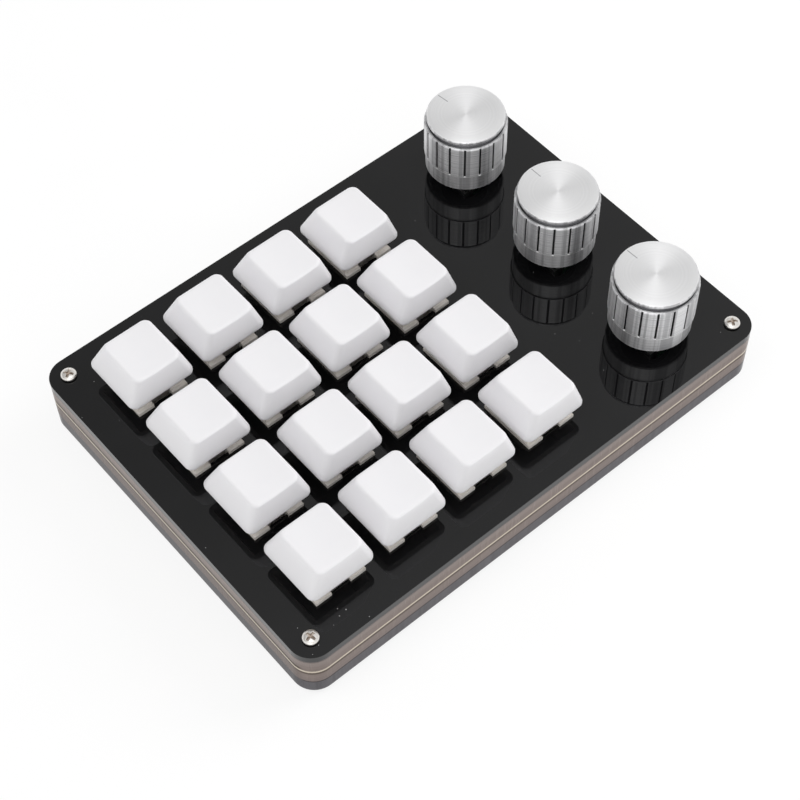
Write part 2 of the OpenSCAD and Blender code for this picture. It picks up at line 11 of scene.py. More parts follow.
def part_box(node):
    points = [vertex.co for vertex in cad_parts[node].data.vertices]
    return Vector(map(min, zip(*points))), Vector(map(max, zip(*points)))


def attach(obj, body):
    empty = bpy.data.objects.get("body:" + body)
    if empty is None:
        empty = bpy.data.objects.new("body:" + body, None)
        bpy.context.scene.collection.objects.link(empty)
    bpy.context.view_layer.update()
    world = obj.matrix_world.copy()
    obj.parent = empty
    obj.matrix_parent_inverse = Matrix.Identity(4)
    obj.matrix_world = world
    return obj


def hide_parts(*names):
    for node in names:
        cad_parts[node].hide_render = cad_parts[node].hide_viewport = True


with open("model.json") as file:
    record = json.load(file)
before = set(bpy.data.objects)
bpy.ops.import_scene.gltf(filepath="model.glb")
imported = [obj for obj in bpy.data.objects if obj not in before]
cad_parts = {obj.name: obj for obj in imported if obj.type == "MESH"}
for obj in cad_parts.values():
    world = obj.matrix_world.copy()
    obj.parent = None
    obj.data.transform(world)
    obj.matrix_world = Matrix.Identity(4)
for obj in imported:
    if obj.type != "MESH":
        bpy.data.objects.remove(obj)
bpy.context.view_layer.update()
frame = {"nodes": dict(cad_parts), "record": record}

MM = 0.001
COLS = range(1, 5)
ROWS = range(1, 5)
PLACES = ["back", "middle", "front"]


def span(node):
    """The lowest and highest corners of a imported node, in mm."""
    return [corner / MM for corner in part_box(node)]


# levels of the case's layers above the desk, and its left face
Z_BOTTOM, Z_BOTTOM_TOP = [corner.z for corner in span("bottom_plate")]
Z_LOWER_TOP = span("lower_spacer")[1].z
Z_UPPER_TOP = span("upper_spacer")[1].z
Z_PLATE = span("top_plate")[1].z
LEFT_FACE = span("top_plate")[0].x


# ---------------------------------------------------------------- node helpers


class Graph:
    """A material's node tree, with short calls for the nodes that the finishes share."""

    def __init__(self, name):
        self.material = bpy.data.materials.new(name)
        self.material.use_nodes = True
        self.tree = self.material.node_tree
        self.tree.nodes.clear()
        self.out = self.node("ShaderNodeOutputMaterial")
        self.shader = self.node("ShaderNodeBsdfPrincipled")
        self.link(self.shader.outputs["BSDF"], self.out.inputs["Surface"])
        self._coords = None

    def node(self, kind, **props):
        made = self.tree.nodes.new(kind)
        for key, value in props.items():
            setattr(made, key, value)
        return made

    def link(self, a, b):
        self.tree.links.new(a, b)

    def feed(self, socket, value):
        if isinstance(value, bpy.types.NodeSocket):
            self.link(value, socket)
        else:
            socket.default_value = value

    def set(self, **values):
        for key, value in values.items():
            self.feed(self.shader.inputs[key.replace("_", " ")], value)

    @property
    def place(self):
        """The point in the object's own frame, in mm."""
        if self._coords is None:
            coords = self.node("ShaderNodeTexCoord").outputs["Object"]
            scaled = self.node("ShaderNodeVectorMath", operation="SCALE")
            self.link(coords, scaled.inputs[0])
            scaled.inputs["Scale"].default_value = 1000.0
            self._coords = scaled.outputs["Vector"]
        return self._coords

    def xyz(self):
        split = self.node("ShaderNodeSeparateXYZ")
        self.link(self.place, split.inputs[0])
        return split.outputs["X"], split.outputs["Y"], split.outputs["Z"]

    def join(self, x, y, z):
        made = self.node("ShaderNodeCombineXYZ")
        for socket, value in zip(made.inputs, (x, y, z)):
            self.feed(socket, value)
        return made.outputs[0]

    def math(self, operation, a, b=0.0):
        made = self.node("ShaderNodeMath", operation=operation)
        for socket, value in zip(made.inputs, (a, b)):
            self.feed(socket, value)
        return made.outputs[0]

    def times(self, a, b):
        return self.math("MULTIPLY", a, b)

    def length(self, x, y):
        """The distance from the z axis."""
        return self.math("SQRT", self.math("ADD", self.times(x, x), self.times(y, y)))

    def noise(self, scale, detail=2.0, roughness=0.5, vector=None, kind="3D", distortion=0.0):
        made = self.node("ShaderNodeTexNoise", noise_dimensions=kind)
        if kind == "1D":
            self.feed(made.inputs["W"], vector)
        else:
            self.link(vector or self.place, made.inputs["Vector"])
        made.inputs["Scale"].default_value = scale
        made.inputs["Detail"].default_value = detail
        made.inputs["Roughness"].default_value = roughness
        made.inputs["Distortion"].default_value = distortion
        return made.outputs["Fac"]

    def ramp(self, value, stops):
        """stops is a list of (position, colour or grey)."""
        made = self.node("ShaderNodeValToRGB")
        elements = made.color_ramp.elements
        while len(elements) < len(stops):
            elements.new(0.5)
        for element, (position, colour) in zip(elements, stops):
            element.position = position
            element.color = rgba(colour)
        self.feed(made.inputs["Fac"], value)
        return made.outputs["Color"]

    def band(self, value, low, high, soft):
        """1 between low and high, fading out over soft on either side."""
        up = self.smooth(value, low - soft / 2, low + soft / 2)
        down = self.smooth(value, high - soft / 2, high + soft / 2)
        return self.math("SUBTRACT", up, down)

    def smooth(self, value, low, high, to_low=0.0, to_high=1.0):
        """Eases from to_low at low to to_high at high."""
        return self.spread(value, low, high, to_low, to_high, "SMOOTHSTEP")

    def spread(self, value, low, high, to_low, to_high, kind="LINEAR"):
        made = self.node("ShaderNodeMapRange", interpolation_type=kind)
        self.feed(made.inputs["Value"], value)
        made.inputs["From Min"].default_value = low
        made.inputs["From Max"].default_value = high
        made.inputs["To Min"].default_value = to_low
        made.inputs["To Max"].default_value = to_high
        return made.outputs["Result"]

    def mix(self, factor, a, b):
        """a where factor is 0 and b where it is 1; both are colours or sockets."""
        made = self.node("ShaderNodeMix", data_type="RGBA")
        self.feed(made.inputs["Factor"], factor)
        self.feed(made.inputs[6], a if isinstance(a, bpy.types.NodeSocket) else rgba(a))
        self.feed(made.inputs[7], b if isinstance(b, bpy.types.NodeSocket) else rgba(b))
        return made.outputs[2]

    def bump(self, height, distance, strength=1.0):
        """distance is in mm."""
        made = self.node("ShaderNodeBump")
        self.feed(made.inputs["Height"], height)
        made.inputs["Distance"].default_value = distance * MM
        made.inputs["Strength"].default_value = strength
        return made.outputs["Normal"]


def rgba(colour):
    if isinstance(colour, (int, float)):
        return (colour, colour, colour, 1.0)
    return (*colour, 1.0)


# ------------------------------------------------------------------- finishes


def keycap_finish():
    """Satin white plastic with a very fine moulded grain."""
    g = Graph("satin_white_plastic")
    cloud = g.noise(0.12, 2.0)
    g.set(Base_Color=g.ramp(cloud, [(0.3, (0.888, 0.88, 0.9)), (0.7, (0.902, 0.894, 0.91))]))
    grain = g.noise(9.0, 3.0, 0.6)
    g.set(Roughness=g.spread(grain, 0.3, 0.7, 0.42, 0.5))
    g.set(Normal=g.bump(grain, 0.004))
    g.shader.inputs["Specular IOR Level"].default_value = 0.4
    g.shader.inputs["IOR"].default_value = 1.46
    return g.material


def housing_finish():
    """Cream nylon, a little mottled."""
    g = Graph("cream_nylon")
    cloud = g.noise(0.9, 3.0)
    g.set(Base_Color=g.ramp(cloud, [(0.3, (0.84, 0.79, 0.73)), (0.7, (0.9, 0.86, 0.81))]))
    grain = g.noise(6.0, 3.0, 0.6)
    g.set(Roughness=g.spread(grain, 0.3, 0.7, 0.4, 0.52))
    g.set(Normal=g.bump(grain, 0.006))
    return g.material


# x, y and radius of the specks of dust on the top plate, in mm
DUST = [(-56.8, -44.7, 0.2), (-55.5, -46.1, 0.24), (-57.6, -46.4, 0.22), (-52.7, -50.8, 0.18),
        (-66.5, -42.7, 0.16), (-65.6, -49.0, 0.16), (-68.0, -49.9, 0.13), (-60.0, -47.3, 0.12),
        (-62.3, 41.3, 0.18), (-70.5, 34.5, 0.15), (-64.2, 28.1, 0.12), (-69.6, -13.2, 0.18),
        (40.2, -3.1, 0.13), (30.6, 3.9, 0.12), (42.5, -22.0, 0.12), (34.3, -26.0, 0.13),
        (31.2, -20.6, 0.12), (32.6, -36.2, 0.16), (62.0, -46.6, 0.12), (28.8, 29.1, 0.13)]


def plate_finish():
    """Mirror-gloss black acrylic with faint smears and a few specks of dust."""
    g = Graph("gloss_black_acrylic")
    dust = 0.0
    for x, y, size in DUST:
        gap = g.node("ShaderNodeVectorMath", operation="DISTANCE")
        g.link(g.place, gap.inputs[0])
        gap.inputs[1].default_value = (x, y, Z_PLATE)
        speck = g.smooth(gap.outputs["Value"], size * 0.4, size * 0.85, 1.0, 0.0)
        dust = g.math("MAXIMUM", dust, speck)
    dust = g.times(dust, g.spread(g.noise(3.0, 2.0), 0.3, 0.7, 0.5, 1.0))
    smear = g.noise(0.06, 4.0, 0.6, distortion=0.6)
    black = g.ramp(smear, [(0.3, (0.004, 0.004, 0.0043)), (0.7, (0.0055, 0.0055, 0.006))])
    g.set(Base_Color=g.mix(dust, black, (0.4, 0.4, 0.4)))
    clean = g.spread(smear, 0.35, 0.75, 0.02, 0.045)
    g.set(Roughness=g.math("MAXIMUM", clean, g.times(dust, 0.6)))
    g.shader.inputs["IOR"].default_value = 1.42
    return g.material


def cut_edge(name):
    """A laser-cut acrylic layer's graph, its height socket, streaks that run up its edges,
    and a mask that is 1 on the case's left face and 0 elsewhere."""
    g = Graph(name)
    x, y, z = g.xyz()
    streak = g.noise(0.9, 3.0, 0.55, vector=g.join(x, y, g.times(z, 0.08)))
    left = g.smooth(x, LEFT_FACE + 0.05, LEFT_FACE + 0.8, 1.0, 0.0)
    g.shader.inputs["IOR"].default_value = 1.49
    g.shader.inputs["Specular IOR Level"].default_value = 0.03
    return g, z, streak, left


def spacer_finish():
    """Smoke-brown acrylic, its edges striped with dark seams and a seam of painted highlight,
    with painted shade under the plate and low down on the left face.
    """
    g, z, streak, left = cut_edge("smoke_brown_acrylic")
    x, y, _ = g.xyz()
    lines = g.noise(2.6, 2.0, vector=g.join(g.times(x, 0.02), g.times(y, 0.02), z))
    brown = g.ramp(lines, [(0.3, (0.22, 0.18, 0.165)), (0.7, (0.265, 0.217, 0.2))])

    def tint(share, colour):
        """Mixes a colour into the brown, by a share that is a number or a socket."""
        nonlocal brown
        brown = g.mix(share, brown, colour)

    def stripe(low, high, soft, share, colour):
        tint(g.times(g.band(z, low, high, soft), share), colour)

    tint(g.spread(streak, 0.3, 0.7, 0.0, 0.35), (0.29, 0.24, 0.215))
    # the upper layer: paler upwards; painted shade under the plate and low down on the left face
    tint(g.smooth(z, Z_LOWER_TOP + 2.2, Z_UPPER_TOP - 1.2, 0.0, 0.55), (0.32, 0.275, 0.255))
    stripe(Z_UPPER_TOP - 0.45, Z_UPPER_TOP + 0.1, 0.2, 0.6, (0.12, 0.105, 0.105))
    low_left_shade = g.times(left, g.smooth(z, Z_LOWER_TOP - 0.2, Z_LOWER_TOP + 3.5, 1.0, 0.0))
    tint(g.times(low_left_shade, 0.28), (0.03, 0.02, 0.01))
    # the lower layer: greyer downwards
    tint(g.smooth(z, Z_BOTTOM_TOP + 2.4, Z_BOTTOM_TOP, 0.0, 0.3), (0.15, 0.125, 0.135))
    # the seam between the two: a bright line of painted highlight, dark lines under it and, on the
    # left, above it
    stripe(Z_LOWER_TOP + 0.7, Z_LOWER_TOP + 1.7, 0.3, g.times(left, 0.9), (0.06, 0.048, 0.03))
    stripe(Z_LOWER_TOP + 0.1, Z_LOWER_TOP + 0.72, 0.2, 1.0, (0.68, 0.6, 0.49))
    stripe(Z_LOWER_TOP - 0.7, Z_LOWER_TOP + 0.02, 0.2, g.spread(left, 0.0, 1.0, 0.85, 0.7),
           (0.1, 0.078, 0.06))
    # the seam at the bottom plate
    stripe(Z_BOTTOM_TOP - 0.1, Z_BOTTOM_TOP + 0.42, 0.12, g.spread(left, 0.0, 1.0, 0.9, 0.25),
           (0.05, 0.042, 0.042))
    g.set(Base_Color=brown)
    g.set(Roughness=g.spread(streak, 0.3, 0.7, 0.2, 0.3))
    g.set(Normal=g.bump(streak, 0.02, 0.6))
    return g.material


def bottom_finish():
    """Gloss dark grey acrylic, paler along its lower edge, with painted shade on its left face."""
    g, z, streak, left = cut_edge("gloss_grey_acrylic")
    grey = g.ramp(streak, [(0.3, (0.115, 0.11, 0.118)), (0.7, (0.145, 0.14, 0.15))])
    edge = g.band(z, Z_BOTTOM - 0.1, Z_BOTTOM + 0.35, 0.2)
    grey = g.mix(g.times(edge, 0.5), grey, (0.22, 0.215, 0.225))
    # painted shade: the left face is darkened
    g.set(Base_Color=g.mix(g.times(left, 0.45), grey, (0.03, 0.028, 0.03)))
    g.set(Roughness=g.spread(streak, 0.3, 0.7, 0.08, 0.16))
    g.set(Normal=g.bump(streak, 0.02, 0.5))
    return g.material


def metal(name, low, high, roughness, scale):
    """A satin metal from a darker to a lighter tone, broken up by fine noise."""
    g = Graph(name)
    cloud = g.noise(scale, 4.0, 0.6)
    g.set(Base_Color=g.ramp(cloud, [(0.3, low), (0.7, high)]))
    g.set(Metallic=1.0)
    g.set(Roughness=g.spread(cloud, 0.3, 0.7, roughness - 0.05, roughness + 0.06))
    g.set(Normal=g.bump(g.noise(scale * 5, 2.0), 0.004))
    return g.material


def plastic(name, low, high, roughness, scale, bump=0.01):
    """A moulded plastic or rubber with a fine grain, bump mm deep."""
    g = Graph(name)
    cloud = g.noise(scale, 3.0)
    g.set(Base_Color=g.ramp(cloud, [(0.3, low), (0.7, high)]))
    grain = g.noise(scale * 6, 3.0, 0.6)
    g.set(Roughness=g.spread(grain, 0.3, 0.7, roughness - 0.05, roughness + 0.05))
    g.set(Normal=g.bump(grain, bump))
    return g.material


def knob_finish():
    """Turned aluminium: rings on the top, lines and patches of painted reflection round the side,
    a painted highlight along the lip, painted shade in the groove, dark slots, and a scribed tick."""
    g = Graph("turned_aluminium")
    x, y, z = g.xyz()
    radius = g.length(x, y)
    on_top = g.smooth(z, KNOB_H - 0.15, KNOB_H - 0.05)
    rings = g.noise(2.2, 5.0, 0.75, vector=radius, kind="1D")
    lines = g.noise(2.6, 5.0, 0.8, vector=z, kind="1D")

    # the side, with patches of painted reflection at other angles on each knob
    side = g.ramp(lines, [(0.3, (0.55, 0.55, 0.56)), (0.55, (0.84, 0.84, 0.85)), (0.7, 0.98)])
    mirrored_patch_tone = g.ramp(lines, [(0.3, (0.3, 0.3, 0.31)), (0.5, (0.64, 0.64, 0.65)), (0.7, 0.92)])
    own = g.times(g.node("ShaderNodeObjectInfo").outputs["Random"], 60.0)
    patch = g.noise(0.3, 2.0, vector=g.join(x, y, own))
    side = g.mix(g.smooth(patch, 0.46, 0.62), side, mirrored_patch_tone)
    # painted reflection: darker patches stand in for the surroundings mirrored in the side
    painted_sheen = g.noise(0.7, 3.0, 0.6, vector=g.join(x, y, g.math("ADD", own, 9.0)))
    side = g.mix(g.smooth(painted_sheen, 0.44, 0.58, 0.0, 0.6), side, (0.36, 0.36, 0.37))
    # painted highlight: a bright line along the lip above the band
    lip = g.band(z, BAND_H - 0.05, BAND_H + 0.3, 0.08)
    side = g.mix(g.times(lip, 0.8), side, (1.0, 1.0, 1.0))

    top = g.ramp(rings, [(0.3, (0.89, 0.89, 0.895)), (0.7, (0.95, 0.95, 0.955))])
    tick = g.times(g.band(x, -TICK_W / 2, TICK_W / 2, 0.06), g.band(y, TICK_FROM, TICK_TO, 0.1))
    tick = g.times(tick, on_top)
    # painted shade in the groove under the disc
    shaded_groove = g.band(z, BODY_TOP - 0.01, KNOB_H - DISC_T + 0.01, 0.01)
    shaded_groove = g.times(shaded_groove, g.smooth(radius, DISC_R - 0.15, DISC_R, 1.0, 0.0))
    slot = g.band(z, SLOT_BOTTOM + 0.1, BODY_TOP - 0.2, 0.1)
    slot = g.times(slot, g.smooth(radius, KNOB_R - 0.3, KNOB_R - 0.14, 1.0, 0.0))
    tone = g.mix(on_top, side, top)
    tone = g.mix(tick, tone, (0.5, 0.5, 0.51))
    tone = g.mix(shaded_groove, tone, (0.3, 0.3, 0.31))
    g.set(Base_Color=g.mix(slot, tone, (0.02, 0.02, 0.022)))
    g.set(Metallic=g.math("SUBTRACT", 1.0, slot))

    fine = g.math("ADD", g.times(rings, on_top), g.times(lines, g.math("SUBTRACT", 1.0, on_top)))
    rough = g.spread(fine, 0.3, 0.7, 0.34, 0.44)
    rough = g.times(rough, g.spread(shaded_groove, 0.0, 1.0, 1.0, 0.5))
    rough = g.times(rough, g.smooth(z, BAND_H - 0.1, BAND_H + 0.1, 1.1, 1.2))
    g.set(Roughness=g.math("ADD", rough, g.times(slot, 0.4)))
    height = g.math("SUBTRACT", g.times(fine, g.spread(on_top, 0.0, 1.0, 2.0, 1.0)), tick)
    g.set(Normal=g.bump(height, 0.008))
    g.shader.inputs["Anisotropic"].default_value = 0.75
    g.shader.inputs["Anisotropic Rotation"].default_value = 0.25
    tangent = g.node("ShaderNodeTangent", direction_type="RADIAL", axis="Z")
    g.link(tangent.outputs[0], g.shader.inputs["Tangent"])
    return g.material


def board_finish():
    """Green solder mask with a fine pattern of copper lines under it."""
    g = Graph("green_solder_mask")
    x, y, z = g.xyz()
    weave = g.times(g.math("SINE", g.times(x, 3.1)), g.math("SINE", g.times(y, 3.1)))
    lines = g.smooth(weave, 0.35, 0.5)
    cloud = g.noise(0.3, 2.0)
    green = g.ramp(cloud, [(0.3, (0.008, 0.05, 0.022)), (0.7, (0.012, 0.065, 0.03))])
    g.set(Base_Color=g.mix(g.times(lines, 0.5), green, (0.03, 0.12, 0.05)))
    g.set(Roughness=g.spread(cloud, 0.3, 0.7, 0.25, 0.35))
    g.set(Normal=g.bump(lines, 0.02))
    return g.material


# --------------------------------------------------------------- mesh helpers


def new_mesh(name, shell, sharp_angle):
    """A mesh from a shell's points in mm, shaded smooth except at edges sharper than
    sharp_angle, in degrees."""
    mesh = bpy.data.meshes.new(name)
    mesh.from_pydata([[c * MM for c in v] for v in shell.verts], [], shell.faces)
    mesh.validate()
    for polygon in mesh.polygons:
        polygon.use_smooth = True
    mesh.update()
    mesh.set_sharp_from_angle(angle=math.radians(sharp_angle))
    return mesh


def add_piece(name, mesh, material, at, body, replaced, turn=None):
    """Places a mesh, at in metres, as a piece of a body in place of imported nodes."""
    piece = bpy.data.objects.new(name, mesh)
    bpy.context.scene.collection.objects.link(piece)
    if not mesh.materials:
        mesh.materials.append(material)
    piece.matrix_world = Matrix.Translation(Vector(at)) @ (turn or Matrix.Identity(4))
    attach(piece, body)
    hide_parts(*replaced)


def bridge(faces, a, b, count):
    """Quads between two closed loops of count vertices that start at a and b."""
    for i in range(count):
        j = (i + 1) % count
        faces.append((a + i, a + j, b + j, b + i))


def circle(r, z, angles):
    return [(r * math.cos(a), r * math.sin(a), z) for a in angles]


def curve(a, b, c, t):
    """The point at t on the arc from a to c that bends towards b."""
    return (1 - t) ** 2 * a + 2 * t * (1 - t) * b + t * t * c


class Shell:
    """Vertices and faces that grow loop by loop."""

    def __init__(self):
        self.verts = []
        self.faces = []

    def loop(self, points):
        start = len(self.verts)
        self.verts.extend(points)
        return start

    def stack(self, loops):
        """Joins the loops, lists of the same number of points, one after another."""
        starts = [self.loop(points) for points in loops]
        for a, b in zip(starts, starts[1:]):
            bridge(self.faces, a, b, len(loops[0]))
        return starts

    def close(self, start, count, flip=False):
        face = tuple(range(start, start + count))
        self.faces.append(face[::-1] if flip else face)


# -------------------------------------------------------------------- keycaps

# the outline at the skirt and at the top: width, depth, centre and corner radius
CAP_BASE_W = 18.2
CAP_BASE_D = 18.45
CAP_BASE_Y = -0.12
CAP_BASE_R = 1.9
CAP_TOP_W = 13.15
CAP_TOP_D = 14.25
CAP_TOP_X = 0.1
CAP_TOP_Y = -1.35
CAP_TOP_R = 2.0
CAP_H = 8.4
CAP_RIM = 0.8               # height of the upright rim round the skirt
SKIRT_EDGE = ((0.22, 0.0), (0.06, 0.06), (0.0, 0.2))    # inset and height at each step up
CAP_WALL = 1.3
CAP_CEILING = 6.7
MOUTH_BEVEL = 0.1
MOUTH_BEVEL_H = 0.12
DISH = 0.5
FILLET = 0.9                # width and height of the rounding round the top
BOSS_R = 2.75
BOSS_BOTTOM = 1.1
BOSS_BEVEL = 0.15
BOSS_SIDES = 48
SOCKET_TOP = 4.7
CROSS_L = 4.1
CROSS_T = 1.3
# how many steps each stretch of a keycap's surface has
CORNER_STEPS = 9
SIDE_STEPS = 12
WALL_STEPS = 4
FILLET_STEPS = 8
DISH_STEPS = 10
HOLLOW_STEPS = 3


def cap_loop(w, d, cx, cy, r):
    """Points round a rounded rectangle, counter-clockwise seen from above."""
    arcs = []
    for sx, sy, start in ((1, 1, 0), (-1, 1, 90), (-1, -1, 180), (1, -1, 270)):
        x, y = cx + sx * (w / 2 - r), cy + sy * (d / 2 - r)
        angles = [math.radians(start + 90 * i / CORNER_STEPS) for i in range(CORNER_STEPS + 1)]
        arcs.append([(x + r * math.cos(a), y + r * math.sin(a)) for a in angles])
    points = []
    for arc, following in zip(arcs, arcs[1:] + arcs[:1]):
        (x0, y0), (x1, y1) = arc[-1], following[0]
        shares = [i / SIDE_STEPS for i in range(1, SIDE_STEPS)]
        points += arc + [(x0 + (x1 - x0) * t, y0 + (y1 - y0) * t) for t in shares]
    return points


def cap_outline(u, inset=0.0):
    """The keycap's outline at share u of its height, drawn in by inset."""
    w = CAP_BASE_W + (CAP_TOP_W - CAP_BASE_W) * u - 2 * inset
    d = CAP_BASE_D + (CAP_TOP_D - CAP_BASE_D) * u - 2 * inset
    r = max(CAP_BASE_R + (CAP_TOP_R - CAP_BASE_R) * u - inset, 0.5)
    return cap_loop(w, d, CAP_TOP_X * u, CAP_BASE_Y + (CAP_TOP_Y - CAP_BASE_Y) * u, r)


def top_height(x):
    """Height of the keycap's top, which is hollowed from left to right."""
    return CAP_H - DISH * (1 - min(1.0, (2 * (x - CAP_TOP_X) / CAP_TOP_W) ** 2))


def dished(points, z):
    """Puts points at height z, lowered towards the dish in the upper part of the cap."""
    z1 = CAP_H - FILLET
    return [(x, y, z if z <= z1 else z1 + (z - z1) * (top_height(x) - z1) / (CAP_H - z1))
            for x, y in points]


def cap_outside():
    """Loops from the skirt's lower edge up to the middle of the dish."""
    z1 = CAP_H - FILLET
    u1 = (z1 - CAP_RIM) / (CAP_H - CAP_RIM)
    loops = []
    for inset, z in (*SKIRT_EDGE, (0.0, CAP_RIM)):
        loops.append([(x, y, z) for x, y in cap_outline(0, inset)])
    for k in range(1, WALL_STEPS + 1):
        u = u1 * k / WALL_STEPS
        loops.append([(x, y, CAP_RIM + (CAP_H - CAP_RIM) * u) for x, y in cap_outline(u)])
    low, edge, inner = cap_outline(u1), cap_outline(1), cap_outline(1, FILLET)
    for k in range(1, FILLET_STEPS + 1):
        t = k / FILLET_STEPS
        ring = [[curve(a[i], b[i], c[i], t) for i in (0, 1)] for a, b, c in zip(low, edge, inner)]
        loops.append(dished(ring, curve(z1, CAP_H, CAP_H, t)))
    for k in range(1, DISH_STEPS):
        s = 1 - k / DISH_STEPS
        ring = [(CAP_TOP_X + (x - CAP_TOP_X) * s, CAP_TOP_Y + (y - CAP_TOP_Y) * s)
                for x, y in inner]
        loops.append(dished(ring, CAP_H))
    return loops


def cap_inside():
    """Loops from the hollow's mouth up to its ceiling."""
    loops = [[(x, y, 0.0) for x, y in cap_outline(0, CAP_WALL - MOUTH_BEVEL)],
             [(x, y, MOUTH_BEVEL_H) for x, y in cap_outline(0, CAP_WALL)]]
    for k in range(1, HOLLOW_STEPS + 1):
        u = k / HOLLOW_STEPS * CAP_CEILING / CAP_H
        loops.append([(x, y, u * CAP_H) for x, y in cap_outline(u, CAP_WALL)])
    return loops


def cap_mesh():
    shell = Shell()
    count = len(cap_outline(0))
    outer = shell.stack(cap_outside())
    centre = shell.loop([(CAP_TOP_X, CAP_TOP_Y, CAP_H - DISH)])
    for i in range(count):
        shell.faces.append((outer[-1] + i, outer[-1] + (i + 1) % count, centre))
    inner = [shell.loop(points) for points in cap_inside()]
    bridge(shell.faces, inner[0], outer[0], count)
    for a, b in zip(inner, inner[1:]):
        bridge(shell.faces, b, a, count)
    shell.close(inner[-1], count, flip=True)
    add_boss(shell)
    return new_mesh("keycap", shell, 40)


def cross_radius(a):
    """Distance from the centre to the edge of the cross-shaped socket, at angle a."""
    best = 0.0
    for w, d in ((CROSS_L, CROSS_T), (CROSS_T, CROSS_L)):
        c, s = abs(math.cos(a)), abs(math.sin(a))
        best = max(best, min(w / 2 / c if c > 1e-9 else 99, d / 2 / s if s > 1e-9 else 99))
    return best


def add_boss(shell):
    """The round boss under the keycap's ceiling, with the socket for the switch's cross."""
    corners = []
    for x, y in ((CROSS_L / 2, CROSS_T / 2), (CROSS_T / 2, CROSS_T / 2), (CROSS_T / 2, CROSS_L / 2)):
        a = math.atan2(y, x)
        corners += [q * math.pi / 2 + a for q in range(4)]
        corners += [q * math.pi / 2 - a for q in range(4)]
    angles = sorted({round(a % (2 * math.pi), 6) for a in corners}
                    | {round(2 * math.pi * k / BOSS_SIDES, 6) for k in range(BOSS_SIDES)})
    cross = [(cross_radius(a) * math.cos(a), cross_radius(a) * math.sin(a)) for a in angles]
    n = len(angles)
    top = shell.loop(circle(BOSS_R, CAP_CEILING + 0.1, angles))
    low = shell.loop(circle(BOSS_R, BOSS_BOTTOM + BOSS_BEVEL, angles))
    rim = shell.loop(circle(BOSS_R - BOSS_BEVEL, BOSS_BOTTOM, angles))
    mouth = shell.loop([(x, y, BOSS_BOTTOM) for x, y in cross])
    floor = shell.loop([(x, y, SOCKET_TOP) for x, y in cross])
    for a, b in ((top, low), (low, rim), (rim, mouth), (mouth, floor)):
        bridge(shell.faces, b, a, n)
    shell.close(floor, n, flip=True)


def make_keycaps(material):
    """All sixteen keycaps share one mesh; each stands on the middle of its packed cap."""
    mesh = cap_mesh()
    for row in ROWS:
        for col in COLS:
            key = f"r{row}c{col}"
            low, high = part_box(f"keycap_{key}")
            at = ((low.x + high.x) / 2, (low.y + high.y) / 2, low.z)
            add_piece(f"moulded_keycap_{key}", mesh, material, at, f"key_{key}",
                      [f"keycap_{key}"])


# ---------------------------------------------------------------------- knobs

# how far each knob's slots and its tick are turned, in degrees
SLOT_TURNS = {"back": -5.3, "middle": -9.7, "front": -3.6}
TICK_TURNS = {"back": 6.5, "middle": 0.5, "front": 2.0}
KNOB_R = 10.6
BAND_R = 10.25
DISC_R = 10.0
GROOVE_R = 9.5
KNOB_H = 17.3
BAND_H = 5.2                # height of the plain band under the grip
BODY_TOP = 15.3             # height where the grip ends and the groove starts
DISC_T = 0.9
SLOTS = 17
SLOT_W = 0.52
SLOT_DEPTH = 0.7
SLOT_BEVEL = 0.07
SLOT_LIP = 0.02
LIP_SHARE = 0.12            # of the slot's depth, down to where its walls start
SLOT_BOTTOM = 5.3
SLOT_RAMP = 0.25
GRIP_MIDDLE = 10.0          # height of a ring about halfway up the grip
UNDER_R = 9.1               # the hollow underneath
UNDER_H = 4.0
INSERT_R = 6.0
INSERT_TOP = 13.5
TICK_W = 0.26
TICK_FROM = 6.2
TICK_TO = 9.5
LANDS = 10                  # steps round the knob between two slots


def slot_columns(phase):
    """Angles round the knob, each with the share of the slots' depth that it has there."""
    half = SLOT_W / 2 / KNOB_R
    bevel = SLOT_BEVEL / KNOB_R
    lip = SLOT_LIP / KNOB_R
    step = 2 * math.pi / SLOTS
    columns = []
    for k in range(SLOTS):
        a = phase + k * step
        columns += [(a - half - bevel, 0), (a - half, LIP_SHARE), (a - half + lip, 1),
                    (a + half - lip, 1), (a + half, LIP_SHARE), (a + half + bevel, 0)]
        start, end = a + half + bevel, a + step - half - bevel
        columns += [(start + (end - start) * i / LANDS, 0) for i in range(1, LANDS)]
    return columns


